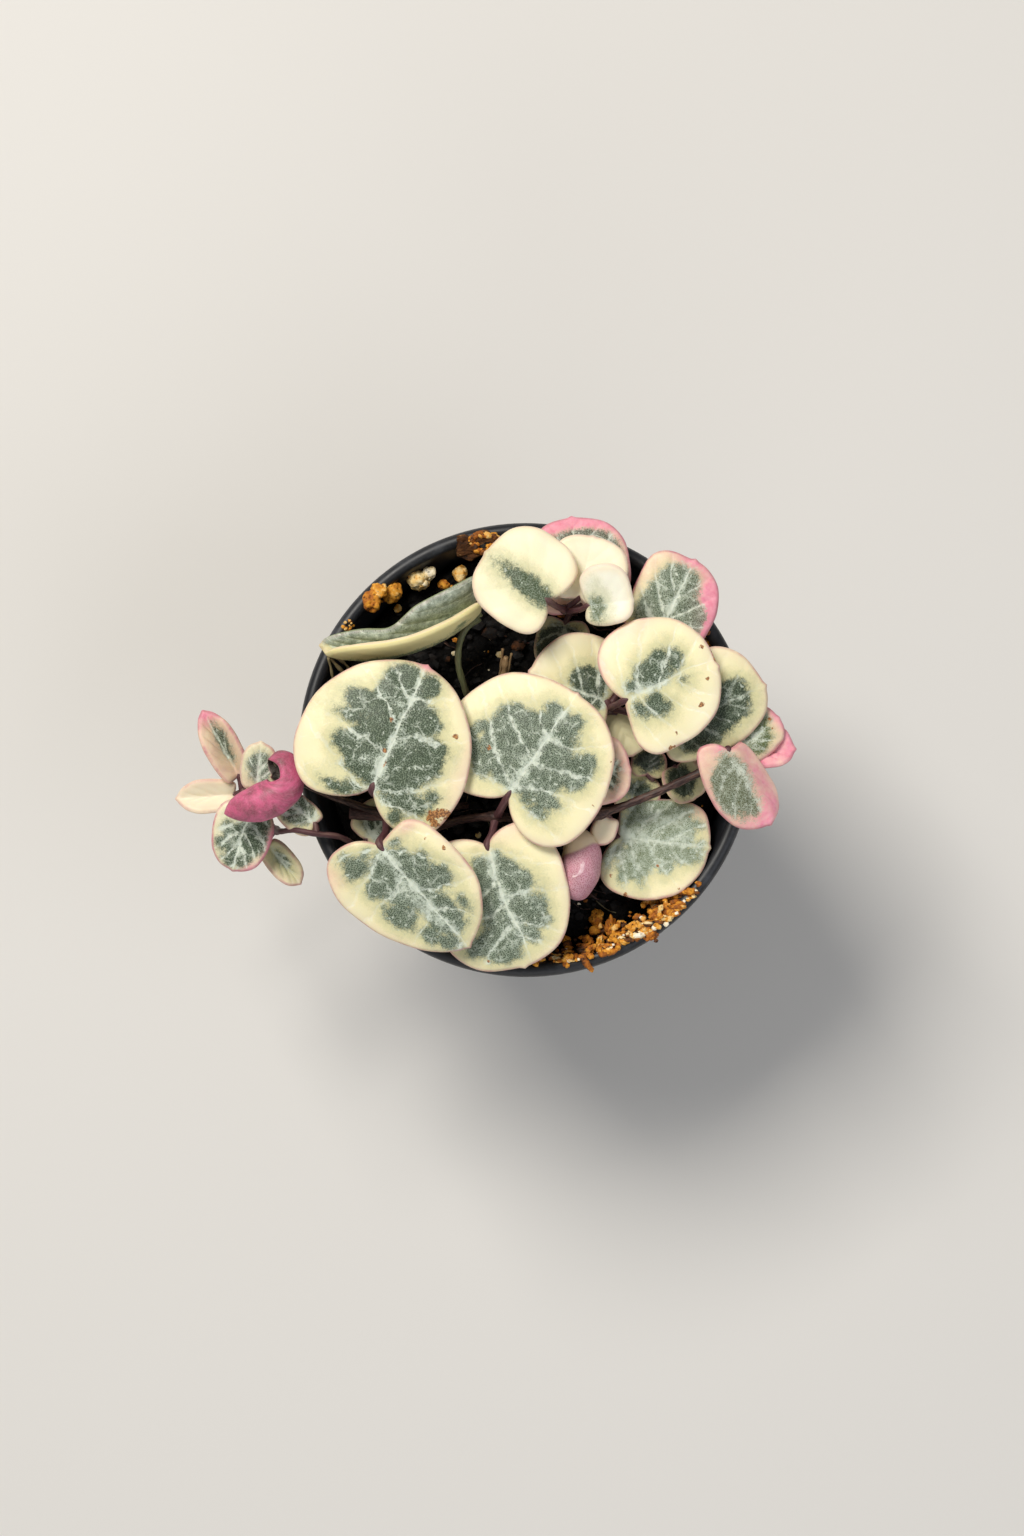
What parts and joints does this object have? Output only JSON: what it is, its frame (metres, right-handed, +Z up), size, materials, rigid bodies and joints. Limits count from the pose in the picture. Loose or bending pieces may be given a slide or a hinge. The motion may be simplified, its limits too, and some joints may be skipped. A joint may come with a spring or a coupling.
{
  "type": "string of hearts",
  "caption": "Small round nursery pot of gritty dark potting mix with trailing stems of thick heart-shaped leaves, marbled grey-green inside wide cream and pink margins.",
  "frame": {"origin": "centre of the pot's bottom, on the surface it stands on", "axes": "+Z up along the pot's axis; +X towards the side where the main stem leaves the pot, -X towards the side where the thin stem hangs over the rim; the -Z face rests on the surface"},
  "size_m": [0.0787, 0.0581, 0.0648],
  "materials": {
    "pot_black": "satin",
    "potting_mix": "matte",
    "bark": "matte",
    "leaf_variegated": "satin",
    "leaf_cream": "satin",
    "leaf_blush": "satin"
  },
  "bodies": {
    "root": {"pot": "pot_black", "potting_mix": "potting_mix", "bark_chip": "bark", "leafy_stem_main": "leaf_variegated", "leafy_stem_left": "leaf_variegated", "leafy_stem_trailing": "leaf_blush", "leafy_stem_top": "leaf_cream", "leafy_stem_right": "leaf_variegated", "leafy_stem_edge": "leaf_variegated", "leafy_stem_low": "leaf_variegated"}
  },
  "joints": []
}
